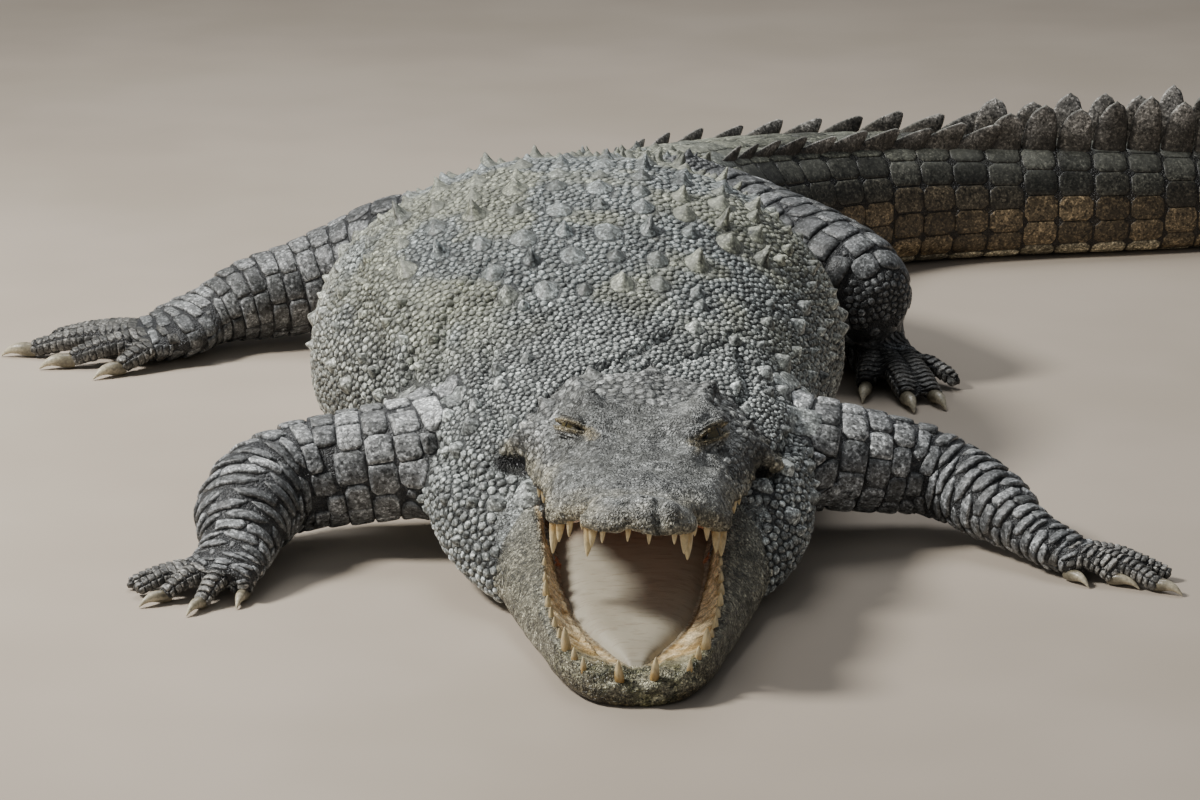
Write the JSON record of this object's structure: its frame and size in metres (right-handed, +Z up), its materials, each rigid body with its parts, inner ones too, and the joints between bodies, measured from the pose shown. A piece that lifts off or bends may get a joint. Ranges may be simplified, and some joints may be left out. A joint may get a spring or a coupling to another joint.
{
  "type": "crocodile",
  "caption": "Life-size mugger crocodile basking on its belly with the jaws open, legs spread and tail swung to one side; a still display model.",
  "frame": {"origin": "bottom centre of the whole animal's box, on the ground it lies on", "axes": "+Z up; the head faces -Y; the tail swings round towards +X, so the animal's left is +X"},
  "size_m": [2.7594, 2.4752, 0.394],
  "materials": {
    "back_hide": "matt, keeled scales",
    "head_hide": "matt, fine pits",
    "limb_hide": "matt, smooth overlapping scales",
    "mouth_lining": "smooth, moist",
    "eye": "glossy",
    "claw": "horn, semi-gloss"
  },
  "bodies": {
    "root": {"neck": "back_hide", "trunk": "back_hide", "tail_base": "back_hide", "tail_middle": "back_hide", "tail_end": "back_hide", "head": "head_hide", "lower_jaw": "head_hide", "upper_arm_right": "limb_hide", "forearm_right": "limb_hide", "forefoot_right": "limb_hide", "upper_arm_left": "limb_hide", "forearm_left": "limb_hide", "forefoot_left": "limb_hide", "thigh_right": "limb_hide", "shank_right": "limb_hide", "hindfoot_right": "limb_hide", "thigh_left": "limb_hide", "shank_left": "limb_hide", "hindfoot_left": "limb_hide", "tongue": "mouth_lining", "eye_right": "eye", "eye_left": "eye", "claw_fore_right_1": "claw", "claw_fore_right_2": "claw", "claw_fore_right_3": "claw", "claw_fore_left_1": "claw", "claw_fore_left_2": "claw", "claw_fore_left_3": "claw", "claw_hind_right_1": "claw", "claw_hind_right_2": "claw", "claw_hind_right_3": "claw", "claw_hind_left_1": "claw", "claw_hind_left_2": "claw", "claw_hind_left_3": "claw"}
  },
  "joints": []
}
